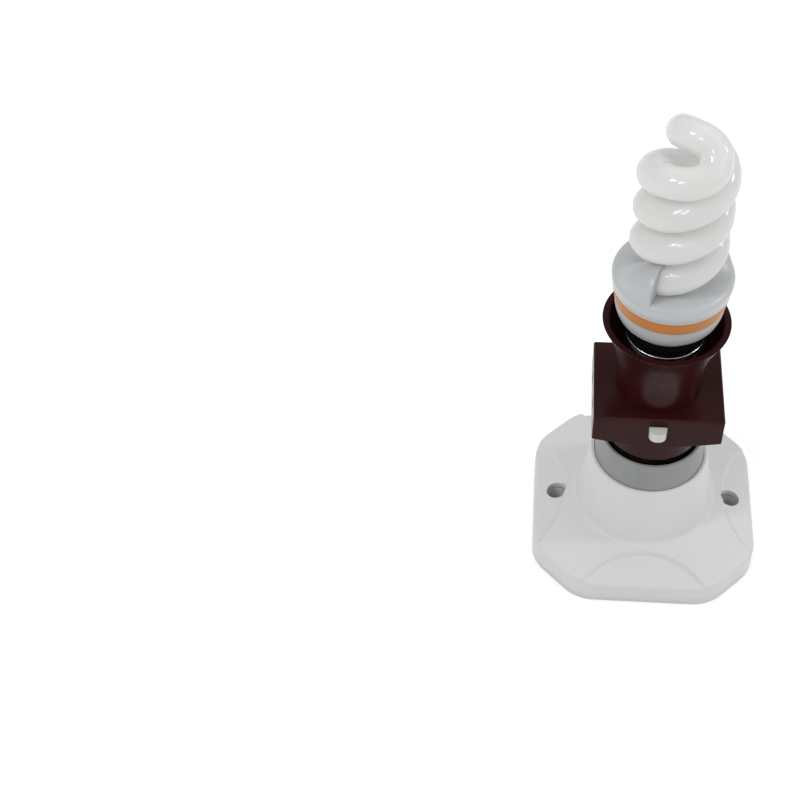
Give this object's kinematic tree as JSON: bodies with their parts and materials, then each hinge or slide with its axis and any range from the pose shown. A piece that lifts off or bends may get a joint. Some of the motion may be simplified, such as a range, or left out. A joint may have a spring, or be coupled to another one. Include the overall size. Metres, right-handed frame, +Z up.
{
  "type": "lamp holder",
  "caption": "Square surface lamp holder with a screwed-in outlet adapter that has a push switch and a flared screw socket holding a spiral fluorescent lamp.",
  "frame": {"origin": "middle of the base's underside, on the axis of the two screw sockets", "axes": "+Z up along the socket axis, -Y to the front where the switch button stands out, +X to the right-hand outlet"},
  "size_m": [0.086, 0.086, 0.2011],
  "materials": {
    "white_shell": "glossy white, faintly cool",
    "grey_moulding": "half-glossy pale grey",
    "brown_moulding": "polished dark brown thermoset",
    "button_white": "glossy white",
    "lamp_white": "half-glossy white",
    "orange_band": "half-glossy orange",
    "milky_tube": "clear glass over a white powder coat",
    "cap_metal": "bright rolled sheet",
    "cap_glass": "glossy black",
    "tip_metal": "dull, slightly worn",
    "socket_brass": "rolled sheet",
    "contact_bronze": "dull strip",
    "terminal_brass": "sawn and drilled",
    "screw_steel": "zinc plated"
  },
  "bodies": {
    "base": {"base_cover": "white_shell", "socket_barrel": "grey_moulding", "base_screw_shell": "socket_brass", "base_side_strap": "socket_brass", "base_centre_contact": "contact_bronze", "base_live_terminal": "terminal_brass", "base_neutral_terminal": "terminal_brass", "base_terminal_screws": "screw_steel", "barrel_screws": "screw_steel"},
    "adapter_tip": {"adapter_tip_contact": "tip_metal"},
    "adapter": {"adapter_body": "brown_moulding", "adapter_cup": "brown_moulding", "adapter_screw_cap": "cap_metal", "adapter_cap_insulator": "cap_glass", "adapter_socket_shell": "socket_brass", "adapter_centre_contact": "contact_bronze", "live_bus": "contact_bronze", "neutral_bus": "contact_bronze", "switch_contact_left": "contact_bronze", "switch_contact_right": "contact_bronze", "adapter_screws": "screw_steel"},
    "switch": {"switch_bar": "button_white", "switch_bridge": "contact_bronze"},
    "lamp_tip": {"lamp_tip_contact": "tip_metal"},
    "lamp": {"lamp_shell": "lamp_white", "lamp_trim_ring": "orange_band", "lamp_cover": "lamp_white", "lamp_tube": "milky_tube", "lamp_screw_cap": "cap_metal", "lamp_cap_insulator": "cap_glass"}
  },
  "joints": [
    {"name": "adapter_rise", "type": "slide", "parent": "base", "child": "adapter_tip", "axis": [0, 0, 1], "range_m": [0, 0.0109]},
    {"name": "adapter_unscrew", "type": "hinge", "parent": "adapter_tip", "child": "adapter", "pos_m": [0, 0, 0.0545], "axis": [0, 0, 1], "range_deg": [0, 1080]},
    {"name": "switch_press", "type": "slide", "parent": "adapter", "child": "switch", "axis": [0, 1, 0], "range_m": [0, 0.0034]},
    {"name": "lamp_rise", "type": "slide", "parent": "adapter", "child": "lamp_tip", "axis": [0, 0, 1], "range_m": [0, 0.0109]},
    {"name": "lamp_unscrew", "type": "hinge", "parent": "lamp_tip", "child": "lamp", "pos_m": [0, 0, 0.1085], "axis": [0, 0, 1], "range_deg": [0, 1080]}
  ],
  "couplings": [
    {"joint": "adapter_rise", "follows": "adapter_unscrew", "m_per_rad": 0.0005775},
    {"joint": "lamp_rise", "follows": "lamp_unscrew", "m_per_rad": 0.0005775}
  ]
}
